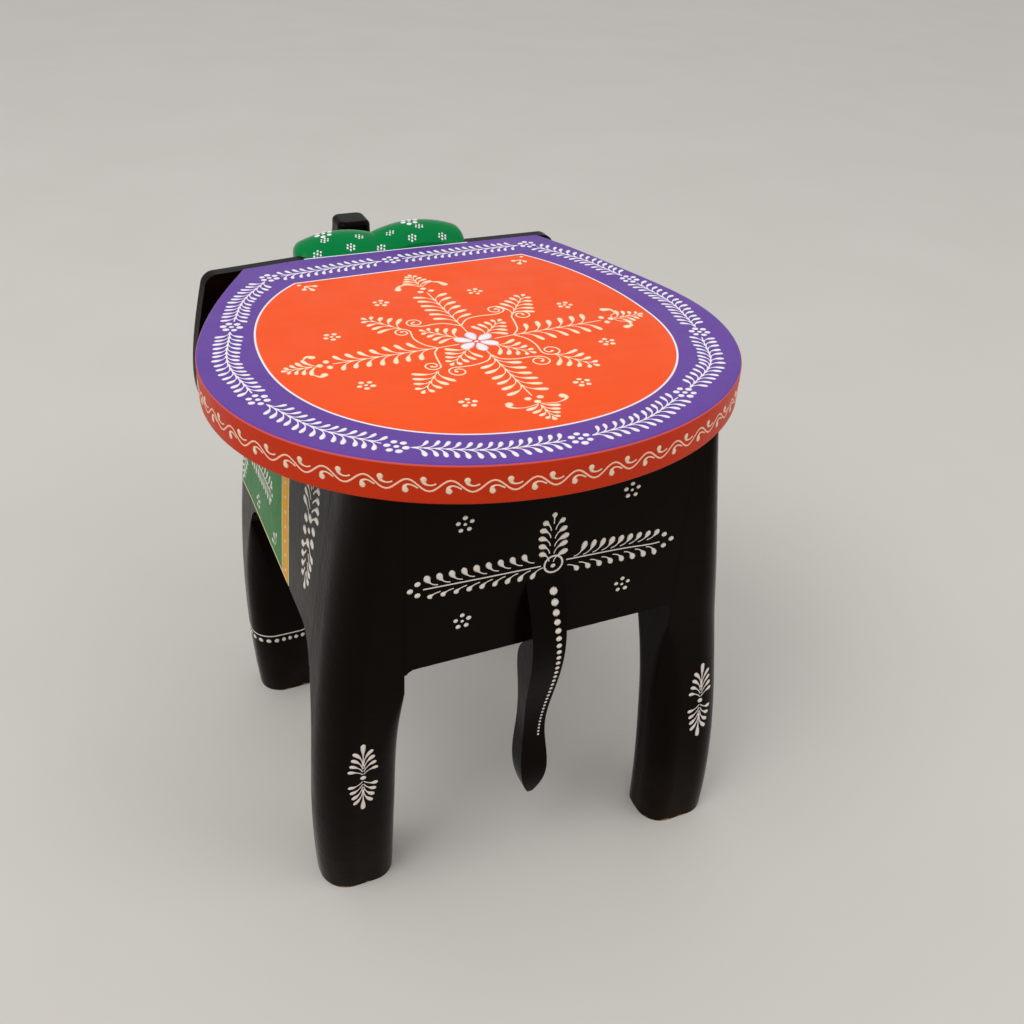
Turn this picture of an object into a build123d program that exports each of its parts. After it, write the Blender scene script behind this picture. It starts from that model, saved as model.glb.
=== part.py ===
"""Carved elephant stool: a painted seat on a hollow body of boards and leg blocks, with head, ears,
trunk, tusks and tail fixed to it by dowels.

Millimetres. The elephant faces -Y, its left side is +X, and it stands on Z = 0. Widths and lengths
are measured from the middle of the seat's painted medallion, and seat_y places that point so that
the origin is under the middle of the whole stool.
"""

import os
from math import cos, pi, radians, sin, tan

from build123d import *

# Seat board
seat_height = 305.0  # floor to the seat's top; body, head and tail hang from it, legs take up the rest
seat_thickness = 22.0
seat_half_width = 153.0
seat_rear_reach = 136.0
seat_front_reach = 151.0
seat_left_corner_share = 0.64  # ends of the front edge; the left one is cut back to suit its ear
seat_right_corner_share = 0.722
seat_corner_round = 2.5
seat_edge_round = 1.5

# Hollow body
body_top_half_width = 104.0  # outside of the flanks, just under the seat
body_half_width = 131.0  # outside of the hind legs at their widest
body_swell = 1.25  # above 1, the hind legs turn in again towards the floor
rear_overhang = 26.0  # of the seat, past the rear board
front_overhang = 27.0
end_board_thickness = 18.0
side_board_inner_half_width = 84.0
opening_half_width = 82.0  # between the legs, seen from behind
arch_drop = 131.0  # the arches between the legs, below the seat's top
belly_drop = 128.0
end_arch_round = 6.0
belly_arch_round = 24.0
arch_tip = 1.0  # blunt end of an arch corner, where it runs out against a leg

# Leg blocks
hind_leg_depth = 38.0
fore_leg_depth = 44.0
hind_foot_width = 47.0
hind_foot_depth = 37.0
fore_foot_width = 43.0
fore_foot_depth = 35.0
fore_leg_set_in = 11.0  # how much less the fore feet are spread than the right hind foot
left_hind_leg_set_in = 2.5
left_hind_foot_shift = -13.0  # carved by hand: one hind foot leans in, the other out
right_hind_foot_shift = 14.0
fore_foot_shift = 1.0
foot_corner_share = 0.38  # width of a foot taken by its outer rounding
foot_corner_depth = 18.0
haunch_corner_share = 0.6  # the same just under the seat, where the haunch is roundest
haunch_corner_depth = 28.0
haunch_growth = 1.5
corner_pull = 0.55  # makes the outer rounding a quarter of an ellipse
foot_round = 15.0
seam_round = 0.3
leg_turn_drop = 146.0  # just below the boards, where the legs start to lean and round off
arch_blend = 60.0  # height over which a leg's seam corners round off
left_hind_lean = 1.3  # above 1, a leg leans mostly near its foot
right_hind_lean = 0.8  # below 1, it leans early and stands straight on the floor
fore_lean = 1.3

# Head
head_half_width = 59.0
head_length = 42.0  # from the seat's front edge to the face
head_front_half_width = 46.0
crown_rise = 12.0  # top of the domes above the seat
dome_spacing = 58.0
dome_valley = 6.0
dome_valley_offset = 4.0  # the left dome is a little smaller and lower
left_dome_drop = 2.5
temple_drop = 7.0
cheek_drop = 55.0
chin_drop = 95.0
chin_half_width = 36.0
head_round = 8.0
neck_half_width = 48.0
neck_drop = 105.0
neck_round = 8.0

# Ears
ear_thickness = 10.0
ear_root = 54.0  # where an ear is housed in the head's side
ear_root_drop = 55.0
ear_reach = 134.0
ear_top_reach = 122.0
ear_length = 105.0
ear_drop = 1.0  # ear tops below the seat's top
left_ear_yaw = 8.3  # the left ear is set at an angle, its tip nearer the body
ear_corner_round = 9.0
ear_edge_round = 2.0

# Trunk and tusks
trunk_length = 54.9  # from the face to the front of the curl
trunk_root_drop = 62.0
trunk_root_radius = 23.0
trunk_dip = 20.0  # degrees below level where the trunk leaves the face
trunk_curl = 107.0  # degrees that it then turns upwards
trunk_curl_radius = 30.0
trunk_bend_radius = 16.0
trunk_tip_radius = 12.0
trunk_tip_length = 39.0  # from the face to the middle of the tip
trunk_tip_drop = 3.5
trunk_squareness = 0.5  # corner radius as a share of the half width
trunk_tip_round = 3.5
tusk_spacing = 68.0
tusk_drop = 77.0
tusk_length = 44.0
tusk_rise = 12.0
tusk_spread = 6.0
tusk_root_radius = 6.5
tusk_tip_radius = 2.5

# Tail
tail_offset = 3.0
tail_drop = 90.0
tail_top_width = 22.0
tail_neck_drop = 201.0
tail_neck_width = 14.0
tail_neck_thickness = 11.0
tail_bulge = 12.0
tail_bulge_drop = 127.0
tail_tuft_width = 17.0
tail_tuft_drop = 221.0
tail_tip_drop = 249.0
tail_tip_width = 3.0

# Dowels
dowel_radius = 4.0
dowel_reach = 14.0  # depth in each of the two pieces
board_dowel_reach = 12.0
seat_dowel_reach = 13.0
thin_dowel_radius = 2.5
thin_dowel_reach = 10.0
tail_dowel_drop = 115.0
tail_dowel_reach = 5.0
leg_dowel_inset = 8.0  # from a leg's inner face
seat_dowel_inset = 19.0  # from a leg's seam with the side board
head_dowel_spacing = 50.0
board_dowel_drops = (107.0, 53.0)  # below the seat's top
side_dowel_drops = (93.0, 59.0)
head_dowel_drops = (83.0, 43.0)
ear_dowel_drops = (43.0, 15.0)

# Places along the stool, from the medallion
body_rear_reach = seat_rear_reach - rear_overhang
body_front_reach = seat_front_reach - front_overhang
hind_leg_front = body_rear_reach - hind_leg_depth
fore_leg_rear = body_front_reach - fore_leg_depth
head_front_reach = seat_front_reach + head_length
trunk_reach = head_front_reach + trunk_length
seat_y = (trunk_reach - seat_rear_reach) / 2

# Heights
seat_bottom = seat_height - seat_thickness
arch_height = seat_height - arch_drop
belly_height = seat_height - belly_drop
leg_turn_height = seat_height - leg_turn_drop
body_span = seat_bottom - leg_turn_height
body_levels = [leg_turn_height + share * body_span for share in (1.0, 0.67, 0.33, 0.0)]
leg_levels = [share * leg_turn_height for share in (1.0, 0.93, 0.8, 0.6, 0.4, 0.18, 0.0)]
cheek_height = seat_height - cheek_drop
chin_height = seat_height - chin_drop
neck_bottom = seat_height - neck_drop
ear_root_bottom = seat_height - ear_root_drop
ear_top = seat_height - ear_drop
ear_bottom = ear_top - ear_length
trunk_root_height = seat_height - trunk_root_drop
trunk_tip_height = seat_height - trunk_tip_drop
tusk_height = seat_height - tusk_drop
tail_top = seat_height - tail_drop
tail_bulge_height = seat_height - tail_bulge_drop
tail_neck_height = seat_height - tail_neck_drop
tail_tuft_height = seat_height - tail_tuft_drop
tail_tip_height = seat_height - tail_tip_drop

# Half widths
seat_left_corner = seat_left_corner_share * seat_half_width
seat_right_corner = seat_right_corner_share * seat_half_width
dome_x = dome_spacing / 2
tusk_x = tusk_spacing / 2


def level(z):
    """Horizontal plane at height z, centred under the medallion."""
    return Plane(origin=(0, seat_y, z))


def station(y):
    """Upright plane across the stool, drawn in x and z and extruded towards the head."""
    return Plane(origin=(0, seat_y + y, 0), x_dir=(1, 0, 0), z_dir=(0, -1, 0))


def profile(x):
    """Upright plane along the stool, drawn in y and z and extruded towards +X."""
    return Plane(origin=(x, seat_y, 0), x_dir=(0, 1, 0), z_dir=(1, 0, 0))


def flank(z, set_in):
    """Outside of the body at height z, swelling from under the seat, less the feet's set-in."""
    fall = (seat_bottom - z) / seat_bottom
    swell = (body_half_width - body_top_half_width) * sin(body_swell * fall * pi / 2)
    return body_top_half_width + swell - set_in * fall


def bore(points, radius, reach, direction):
    """Dowel holes, or the dowels themselves, reach deep on both sides of each point."""
    turned = {"x": (0, 90, 0), "y": (90, 0, 0), "z": (0, 0, 0)}[direction]
    with Locations(*[Location((x, seat_y + y, z), turned) for x, y, z in points]):
        return Cylinder(radius, 2 * reach, mode=Mode.PRIVATE)


def across(half_spacing, y, drops):
    """The same places on the left and the right, at depths below the seat's top."""
    return [(side * half_spacing, y, seat_height - drop) for side in (1, -1) for drop in drops]


# Dowel places: x, y from the medallion, and height
leg_dowel_x = opening_half_width + leg_dowel_inset
rear_board_y = body_rear_reach - end_board_thickness / 2
chest_board_y = -body_front_reach + end_board_thickness / 2
ear_y = -seat_front_reach - ear_thickness / 2
seat_dowels_at = [
    (side * leg_dowel_x, y, seat_bottom)
    for side in (1, -1)
    for y in (hind_leg_front + seat_dowel_inset, -fore_leg_rear - seat_dowel_inset)
]
rear_dowels_at = across(opening_half_width, rear_board_y, board_dowel_drops)
chest_dowels_at = across(opening_half_width, chest_board_y, board_dowel_drops)
side_dowels_at = across(leg_dowel_x, hind_leg_front, side_dowel_drops) + across(
    leg_dowel_x, -fore_leg_rear, side_dowel_drops
)
head_dowels_at = across(head_dowel_spacing / 2, -body_front_reach, head_dowel_drops)
ear_dowels_at = across(ear_root, ear_y, ear_dowel_drops)
trunk_dowel_at = [(0, -head_front_reach, trunk_root_height)]
tusk_dowels_at = across(tusk_x, -head_front_reach, (tusk_drop,))
tail_dowel_at = [(tail_offset, body_rear_reach, seat_height - tail_dowel_drop)]


def leg_bounds(z, end, foot_shift, set_in, power):
    """Inner and outer x, and inner and outer y, of a leg block at height z, on the +X side."""
    end_top = body_rear_reach if end > 0 else -body_front_reach
    inner_top = hind_leg_front if end > 0 else -fore_leg_rear
    foot_width, foot_depth = (
        (hind_foot_width, hind_foot_depth) if end > 0 else (fore_foot_width, fore_foot_depth)
    )
    lean = max(0.0, 1 - z / leg_turn_height) ** power
    if power < 1:
        lean = (1 - cos(pi * lean)) / 2
    foot_end = end_top + end * foot_shift
    foot_inner = foot_end - end * foot_depth
    foot_inner_x = flank(0, 0 if end > 0 else set_in) - foot_width
    return (
        opening_half_width + (foot_inner_x - opening_half_width) * lean,
        flank(z, set_in),
        inner_top + (foot_inner - inner_top) * lean,
        end_top + (foot_end - end_top) * lean,
    )


def carve_leg(side, end, foot_shift, set_in, power):
    """Leg block from seat to floor: square where boards meet it, with a rounded haunch and foot."""
    with BuildPart() as leg:
        for heights in (body_levels, leg_levels):
            for z in heights:
                x_in, x_out, y_in, y_out = leg_bounds(z, end, foot_shift, set_in, power)
                below = max(0.0, min(1.0, (leg_turn_height - z) / arch_blend))
                seam = seam_round + (foot_round - seam_round) * sin(below * pi / 2)
                haunch = (z / seat_bottom) ** haunch_growth
                share = foot_corner_share + (haunch_corner_share - foot_corner_share) * haunch
                wide = share * (x_out - x_in)
                deep = foot_corner_depth + (haunch_corner_depth - foot_corner_depth) * haunch
                with BuildSketch(level(z)):
                    with BuildLine():
                        Polyline(
                            (side * (x_out - wide), y_out),
                            (side * x_in, y_out),
                            (side * x_in, y_in),
                            (side * x_out, y_in),
                            (side * x_out, y_out - end * deep),
                        )
                        Bezier(
                            (side * x_out, y_out - end * deep),
                            (side * x_out, y_out - end * deep * (1 - corner_pull)),
                            (side * (x_out - wide * (1 - corner_pull)), y_out),
                            (side * (x_out - wide), y_out),
                        )
                    make_face()
                    at_seams = vertices().filter_by(
                        lambda v: side * v.X < x_in + seam_round or end * v.Y < end * y_in + seam_round
                    )
                    fillet(at_seams, radius=seam)
            loft()
        add(bore(seat_dowels_at, dowel_radius, seat_dowel_reach, "z"), mode=Mode.SUBTRACT)
        ends_at = rear_dowels_at if end > 0 else chest_dowels_at
        add(bore(ends_at, dowel_radius, board_dowel_reach, "x"), mode=Mode.SUBTRACT)
        add(bore(side_dowels_at, dowel_radius, dowel_reach, "y"), mode=Mode.SUBTRACT)
    return leg


def arch_foot(height, corner):
    """Height at which an arch's round corner is cut off bluntly against a leg."""
    return height - corner + (corner**2 - (corner - arch_tip) ** 2) ** 0.5


def side_board(side, rear_set_in):
    """Thick flank board, flat inside and swelling outside, with the belly arch below."""
    low = arch_foot(belly_height, belly_arch_round)
    heights = [low] + [z for z in body_levels if z > low][::-1]
    length = hind_leg_front + fore_leg_rear
    with BuildPart() as board:
        for y, set_in in ((hind_leg_front, rear_set_in), (-fore_leg_rear, fore_leg_set_in)):
            with BuildSketch(station(y)):
                with BuildLine():
                    Spline(*[(side * flank(z, set_in), z) for z in heights])
                    Polyline(
                        (side * flank(seat_bottom, set_in), seat_bottom),
                        (side * side_board_inner_half_width, seat_bottom),
                        (side * side_board_inner_half_width, low),
                        (side * flank(low, set_in), low),
                    )
                make_face()
        loft()
        with BuildSketch(profile(0)):
            with Locations((hind_leg_front - length / 2, belly_height - belly_arch_round)):
                Rectangle(length, 2 * belly_arch_round)
            fillet(vertices().group_by(Axis.Y)[-1], radius=belly_arch_round)
        extrude(amount=side * 2 * seat_half_width, mode=Mode.SUBTRACT)
        add(bore(side_dowels_at, dowel_radius, dowel_reach, "y"), mode=Mode.SUBTRACT)
    return board


def end_board(outer_y):
    """Board between two legs, from its outer face inwards, with a low square arch."""
    low = arch_foot(arch_height, end_arch_round)
    inwards = 1 if outer_y > 0 else -1
    with BuildPart() as board:
        with BuildSketch(station(outer_y)):
            with Locations((0, (seat_bottom + low) / 2)):
                Rectangle(2 * opening_half_width, seat_bottom - low)
            with BuildSketch(mode=Mode.PRIVATE) as arch:
                with Locations((0, arch_height - end_arch_round)):
                    Rectangle(2 * opening_half_width, 2 * end_arch_round)
                fillet(arch.vertices().group_by(Axis.Y)[-1], radius=end_arch_round)
            add(arch.sketch, mode=Mode.SUBTRACT)
        extrude(amount=inwards * end_board_thickness)
    return board


# Seat: round behind, narrowing to a straight front edge
corner_cut = (seat_left_corner - ear_root) * tan(radians(left_ear_yaw))
with BuildPart() as seat:
    with BuildSketch(level(seat_bottom)):
        with BuildLine():
            Spline(
                (seat_left_corner, corner_cut - seat_front_reach),
                (0.775 * seat_half_width, -0.72 * seat_front_reach),
                (0.9 * seat_half_width, -0.45 * seat_front_reach),
                (seat_half_width, -0.015 * seat_rear_reach),
                (0.863 * seat_half_width, 0.526 * seat_rear_reach),
                (0.515 * seat_half_width, 0.868 * seat_rear_reach),
                (0, seat_rear_reach),
                (-0.515 * seat_half_width, 0.868 * seat_rear_reach),
                (-0.863 * seat_half_width, 0.526 * seat_rear_reach),
                (-seat_half_width, -0.015 * seat_rear_reach),
                (-0.923 * seat_half_width, -0.41 * seat_front_reach),
                (-0.83 * seat_half_width, -0.72 * seat_front_reach),
                (-seat_right_corner, -seat_front_reach),
                tangents=((0.5, 0.86), (0.4, -0.92)),
            )
            Polyline(
                (-seat_right_corner, -seat_front_reach),
                (ear_root, -seat_front_reach),
                (seat_left_corner, corner_cut - seat_front_reach),
            )
        make_face()
        fillet(vertices(), radius=seat_corner_round)
    extrude(amount=seat_thickness)
    fillet(faces().sort_by(Axis.Z)[-1].edges(), radius=seat_edge_round)
    fillet(faces().sort_by(Axis.Z)[0].edges(), radius=seat_edge_round)
    add(bore(seat_dowels_at, dowel_radius, seat_dowel_reach, "z"), mode=Mode.SUBTRACT)

# Legs
rear_left_leg = carve_leg(1, 1, left_hind_foot_shift, left_hind_leg_set_in, left_hind_lean)
rear_right_leg = carve_leg(-1, 1, right_hind_foot_shift, 0.0, right_hind_lean)
front_left_leg = carve_leg(1, -1, fore_foot_shift, fore_leg_set_in, fore_lean)
front_right_leg = carve_leg(-1, -1, fore_foot_shift, fore_leg_set_in, fore_lean)

# Boards
left_side_board = side_board(1, left_hind_leg_set_in)
right_side_board = side_board(-1, 0.0)
with BuildPart() as rear_board:
    add(end_board(body_rear_reach).part)
    add(bore(rear_dowels_at, dowel_radius, board_dowel_reach, "x"), mode=Mode.SUBTRACT)
    add(bore(tail_dowel_at, thin_dowel_radius, tail_dowel_reach, "y"), mode=Mode.SUBTRACT)
with BuildPart() as chest_board:
    add(end_board(-body_front_reach).part)
    add(bore(chest_dowels_at, dowel_radius, board_dowel_reach, "x"), mode=Mode.SUBTRACT)
    add(bore(head_dowels_at, dowel_radius, dowel_reach, "y"), mode=Mode.SUBTRACT)

def carve_ear(side, yaw):
    """Thin ear board, housed in the head's side, its top nearly level with the seat."""
    with BuildPart() as ear:
        with BuildSketch(station(-seat_front_reach)):
            with BuildLine():
                Polyline(
                    (side * ear_root, ear_root_bottom),
                    (side * ear_root, ear_top),
                    (side * ear_top_reach, ear_top),
                )
                Spline(
                    (side * ear_top_reach, ear_top),
                    (side * ear_reach, ear_bottom + 0.45 * ear_length),
                    (side * 0.94 * ear_reach, ear_bottom + 0.1 * ear_length),
                    (side * 0.78 * ear_reach, ear_bottom),
                    (side * 0.62 * ear_reach, ear_bottom + 0.17 * ear_length),
                    (side * ear_root, ear_root_bottom),
                )
            make_face()
            fillet(
                vertices().sort_by(lambda v: side * v.X)[-1],
                radius=ear_corner_round,
            )
        extrude(amount=ear_thickness)
        fillet(faces().sort_by(Axis.Y)[0].edges().filter_by(GeomType.BSPLINE), radius=ear_edge_round)
    root = Axis((side * ear_root, seat_y - seat_front_reach, 0), (0, 0, 1))
    with BuildPart() as set_ear:
        add(ear.part.rotate(root, side * yaw))
        add(bore(ear_dowels_at, thin_dowel_radius, thin_dowel_reach, "x"), mode=Mode.SUBTRACT)
    return set_ear


# Ears
left_ear = carve_ear(1, left_ear_yaw)
right_ear = carve_ear(-1, 0.0)

# Head: sections from the seat's front edge to the flat face that carries the trunk.
# Each is a distance past the seat's edge, a crown height above the seat and a half width.
head_sections = [
    (0.0, 0.2 * crown_rise, 0.975 * head_half_width),
    (0.15 * head_length, 0.72 * crown_rise, 0.995 * head_half_width),
    (0.38 * head_length, crown_rise, head_half_width),
    (0.66 * head_length, 0.7 * crown_rise, 0.965 * head_half_width),
    (0.88 * head_length, -0.2 * crown_rise, 0.88 * head_half_width),
    (head_length, -crown_rise, head_front_half_width),
]
with BuildPart() as head:
    for past_seat, rise, half_width in head_sections:
        crown = seat_height + rise
        with BuildSketch(station(-seat_front_reach - past_seat)):
            with BuildLine():
                for side in (1, -1):
                    drop = left_dome_drop if side > 0 else 0.0
                    Polyline(
                        (0, chin_height),
                        (side * chin_half_width, chin_height),
                        (side * half_width, cheek_height),
                        (side * half_width, crown - temple_drop - drop),
                    )
                    ThreePointArc(
                        (side * half_width, crown - temple_drop - drop),
                        (side * dome_x + dome_valley_offset / 2, crown - drop),
                        (dome_valley_offset, crown - dome_valley),
                    )
            make_face()
            fillet(vertices().filter_by(lambda v: abs(v.X) > dome_x), radius=head_round)
    loft()
    with BuildSketch(station(-body_front_reach)):
        with Locations((0, (neck_bottom + seat_bottom) / 2)):
            Rectangle(2 * neck_half_width, seat_bottom - neck_bottom)
        fillet(vertices().group_by(Axis.Y)[0], radius=neck_round)
    extrude(amount=front_overhang + head_length / 3)
    add(left_ear.part, mode=Mode.SUBTRACT)
    add(right_ear.part, mode=Mode.SUBTRACT)
    add(bore(head_dowels_at, dowel_radius, dowel_reach, "y"), mode=Mode.SUBTRACT)
    add(bore(ear_dowels_at, thin_dowel_radius, thin_dowel_reach, "x"), mode=Mode.SUBTRACT)
    add(bore(trunk_dowel_at, dowel_radius, dowel_reach, "y"), mode=Mode.SUBTRACT)
    add(bore(tusk_dowels_at, thin_dowel_radius, thin_dowel_reach, "y"), mode=Mode.SUBTRACT)


# Trunk: leaves the face, dips and curls up to a square tip at the height of the seat
face_y = seat_y - head_front_reach
with BuildLine() as side_view:
    heading = Vector(-cos(radians(trunk_dip)), -sin(radians(trunk_dip)))
    root = Vector(face_y, trunk_root_height)
    Line(root - heading * trunk_curl_radius / 2, root)
    curl = JernArc(root, heading, trunk_curl_radius, -trunk_curl)
    Line(curl @ 1, (face_y - trunk_tip_length, trunk_tip_height))
trunk_path = Plane.YZ * side_view.wire()
trunk_stations = [
    (0.0, 1.065 * trunk_root_radius),
    (0.17, trunk_root_radius),
    (0.34, 0.55 * trunk_root_radius + 0.45 * trunk_bend_radius),
    (0.5, 0.15 * trunk_root_radius + 0.85 * trunk_bend_radius),
    (0.66, 0.7 * trunk_bend_radius + 0.3 * trunk_tip_radius),
    (0.84, 0.2 * trunk_bend_radius + 0.8 * trunk_tip_radius),
    (1.0, trunk_tip_radius),
]
with BuildPart() as trunk:
    for share, radius in trunk_stations:
        place = Plane(origin=trunk_path @ share, x_dir=(1, 0, 0), z_dir=trunk_path % share)
        with BuildSketch(place):
            RectangleRounded(2 * radius, 2 * radius, trunk_squareness * radius)
    loft()
    fillet(faces().filter_by(GeomType.PLANE).sort_by(Axis.Z)[-1].edges(), radius=trunk_tip_round)
    split(bisect_by=station(-head_front_reach), keep=Keep.TOP)
    add(bore(trunk_dowel_at, dowel_radius, dowel_reach, "y"), mode=Mode.SUBTRACT)


def carve_tusk(side):
    """Tusk that leaves the face and curves up and outwards to a blunt tip."""
    root = Vector(side * tusk_x, face_y, tusk_height)
    tip = root + Vector(side * tusk_spread, -tusk_length, tusk_rise)
    with BuildLine() as path:
        TangentArc(root, tip, tangent=(0, -1, 0))
    with BuildPart() as tusk:
        for share in (0.0, 0.35, 0.7, 1.0):
            radius = tusk_root_radius + (tusk_tip_radius - tusk_root_radius) * share**1.4
            with BuildSketch(Plane(origin=path.line @ share, x_dir=(1, 0, 0), z_dir=path.line % share)):
                Circle(radius)
        loft()
        fillet(faces().sort_by(Axis.Y)[0].edges(), radius=0.6 * tusk_tip_radius)
        add(bore(tusk_dowels_at, thin_dowel_radius, thin_dowel_reach, "y"), mode=Mode.SUBTRACT)
    return tusk


left_tusk = carve_tusk(1)
right_tusk = carve_tusk(-1)

# Tail: its side view cut out of its back view, as it is sawn from a bar.
with BuildPart() as tail:
    with BuildSketch(station(body_rear_reach + 2 * tail_bulge)):
        with BuildLine():
            Spline(
                (tail_offset + tail_top_width / 2, tail_top),
                (tail_offset + 0.46 * tail_top_width, tail_bulge_height),
                (tail_offset + 0.38 * tail_top_width, 0.4 * tail_bulge_height + 0.6 * tail_neck_height),
                (tail_offset + tail_neck_width / 2, tail_neck_height),
                (tail_offset + tail_tuft_width / 2, tail_tuft_height),
                (tail_offset + tail_tip_width / 2, tail_tip_height),
            )
            mirror(about=Plane.YZ.offset(tail_offset))
            Line(
                (tail_offset + tail_top_width / 2, tail_top),
                (tail_offset - tail_top_width / 2, tail_top),
            )
            Line(
                (tail_offset + tail_tip_width / 2, tail_tip_height),
                (tail_offset - tail_tip_width / 2, tail_tip_height),
            )
        make_face()
    extrude(amount=4 * tail_bulge)
    neck_rear = body_rear_reach + tail_bulge / 6
    neck_front = neck_rear - tail_neck_thickness
    with BuildSketch(profile(tail_offset)):
        with BuildLine():
            Spline(
                (body_rear_reach, tail_top),
                (body_rear_reach + tail_bulge, tail_bulge_height),
                (neck_rear, tail_neck_height),
                (body_rear_reach + 0.42 * tail_bulge, tail_tuft_height),
                (body_rear_reach + tail_tip_width, tail_tip_height),
                tangents=((0.45, -1), (-0.3, -1)),
            )
            Spline(
                (body_rear_reach, arch_height),
                (body_rear_reach - tail_bulge / 2, arch_height - 0.8 * tail_bulge),
                (body_rear_reach - tail_bulge / 2, (arch_height + tail_neck_height) / 2),
                (neck_front, tail_neck_height),
                (neck_front + 0.1 * tail_neck_thickness, tail_tuft_height),
                (body_rear_reach, tail_tip_height),
            )
            Line((body_rear_reach, tail_top), (body_rear_reach, arch_height))
            Line((body_rear_reach, tail_tip_height), (body_rear_reach + tail_tip_width, tail_tip_height))
        make_face()
    extrude(amount=tail_top_width, both=True, mode=Mode.INTERSECT)
    add(bore(tail_dowel_at, thin_dowel_radius, tail_dowel_reach, "y"), mode=Mode.SUBTRACT)

# Dowels, each group one node of separate pieces
with BuildPart() as seat_dowels:
    add(bore(seat_dowels_at, dowel_radius, seat_dowel_reach, "z"))
with BuildPart() as rear_board_dowels:
    add(bore(rear_dowels_at, dowel_radius, board_dowel_reach, "x"))
with BuildPart() as chest_board_dowels:
    add(bore(chest_dowels_at, dowel_radius, board_dowel_reach, "x"))
with BuildPart() as side_board_dowels:
    add(bore(side_dowels_at, dowel_radius, dowel_reach, "y"))
with BuildPart() as head_dowels:
    add(bore(head_dowels_at, dowel_radius, dowel_reach, "y"))
with BuildPart() as ear_dowels:
    add(bore(ear_dowels_at, thin_dowel_radius, thin_dowel_reach, "x"))
with BuildPart() as trunk_dowel:
    add(bore(trunk_dowel_at, dowel_radius, dowel_reach, "y"))
with BuildPart() as tusk_dowels:
    add(bore(tusk_dowels_at, thin_dowel_radius, thin_dowel_reach, "y"))
with BuildPart() as tail_dowel:
    add(bore(tail_dowel_at, thin_dowel_radius, tail_dowel_reach, "y"))

pieces = {
    "seat": seat,
    "rear_board": rear_board,
    "chest_board": chest_board,
    "left_side_board": left_side_board,
    "right_side_board": right_side_board,
    "rear_left_leg": rear_left_leg,
    "rear_right_leg": rear_right_leg,
    "front_left_leg": front_left_leg,
    "front_right_leg": front_right_leg,
    "head": head,
    "left_ear": left_ear,
    "right_ear": right_ear,
    "trunk": trunk,
    "left_tusk": left_tusk,
    "right_tusk": right_tusk,
    "tail": tail,
    "seat_dowels": seat_dowels,
    "rear_board_dowels": rear_board_dowels,
    "chest_board_dowels": chest_board_dowels,
    "side_board_dowels": side_board_dowels,
    "head_dowels": head_dowels,
    "ear_dowels": ear_dowels,
    "trunk_dowel": trunk_dowel,
    "tusk_dowels": tusk_dowels,
    "tail_dowel": tail_dowel,
}
os.makedirs("parts", exist_ok=True)
for name, piece in pieces.items():
    piece.part.label = name
    export_step(piece.part, f"parts/{name}.step")
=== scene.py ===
"""Carved elephant stool: lacquered timber, an enamelled seat and brush-painted ornament."""
import math
import random
from bisect import bisect
import bpy
from mathutils import Matrix, Vector
from mathutils.bvhtree import BVHTree


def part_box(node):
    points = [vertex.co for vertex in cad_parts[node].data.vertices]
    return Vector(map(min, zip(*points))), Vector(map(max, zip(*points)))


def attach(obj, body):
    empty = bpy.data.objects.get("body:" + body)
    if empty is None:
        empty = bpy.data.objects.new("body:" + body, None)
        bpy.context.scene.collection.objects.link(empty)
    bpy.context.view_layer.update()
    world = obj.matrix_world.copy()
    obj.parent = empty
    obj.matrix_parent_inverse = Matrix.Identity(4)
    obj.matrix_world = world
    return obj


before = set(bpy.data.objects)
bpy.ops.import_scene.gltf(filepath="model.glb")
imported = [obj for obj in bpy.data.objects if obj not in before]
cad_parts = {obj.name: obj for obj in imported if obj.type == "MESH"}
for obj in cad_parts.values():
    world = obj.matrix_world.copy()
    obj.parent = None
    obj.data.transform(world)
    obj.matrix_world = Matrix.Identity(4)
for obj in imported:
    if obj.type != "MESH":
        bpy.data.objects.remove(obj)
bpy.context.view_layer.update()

# ---- sizes, in millimetres, taken from the CAD parts in model.glb where they have them ----
MM = 0.001
TURN = 2 * math.pi
seat_low, seat_high = (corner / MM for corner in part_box("seat"))
seat_top = seat_high.z
seat_thickness = seat_high.z - seat_low.z
seat_rear_reach = 136
seat_y = seat_high.y - seat_rear_reach
panel_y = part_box("rear_board")[1].y / MM
belly_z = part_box("left_side_board")[0].z / MM + 17.1

relief = 0.34
paint_depth = 0.55
hair = 0.33
line_width = 0.42
scroll_width = 0.52
edge_line = 0.62
trim_line = 0.5
jitter = random.Random(11)

flower_x = 0.3
flower_y = 2.7

field_centre = Vector((1.5, -5.0))
field_half_width = 117.0
field_rear_reach = 112.3
field_left_front_reach = 130.3
field_right_front_reach = 155.8
field_roundness = 2.13
field_left_corner = Vector((73.5, -111.0))
field_right_corner = Vector((-83.0, -117.5))
field_front_slope = ((field_left_corner.y - field_right_corner.y)
                     / (field_left_corner.x - field_right_corner.x))

vine_pitch = 20.5
vine_swing = 3.05
vine_z = seat_top - 11.5

cloth_front = -61.0
cloth_hem = belly_z + 0.8
hem_rise = 11.0
hem_run = 12.0
ribbon_lean = 0.30
ribbon_at_hem = 65.0
ribbon_width = 15.0
ribbon_base_z = 191.0
flank_x = 94.0

front_leg_x = 98.5
anklet_z = 55.5
anklet_radius = 24.0


def ribbon_y(z):
    """Middle of the yellow ribbon at height z."""
    return ribbon_at_hem - ribbon_lean * (z - ribbon_base_z)


# ---- brush strokes: lists of (x, y, radius) on a flat sheet ----
def blob(x, y, radius):
    """A round dab of paint."""
    return [(x + radius * d, y, radius * math.sqrt(1 - d * d))
            for d in (-0.99, -0.72, 0, 0.72, 0.99)]


def circle(x, y, ring, width, steps):
    """A line of paint round a middle point."""
    angles = [TURN * n / steps for n in range(steps + 1)]
    return [(x + ring * math.cos(angle), y + ring * math.sin(angle), width) for angle in angles]


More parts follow.
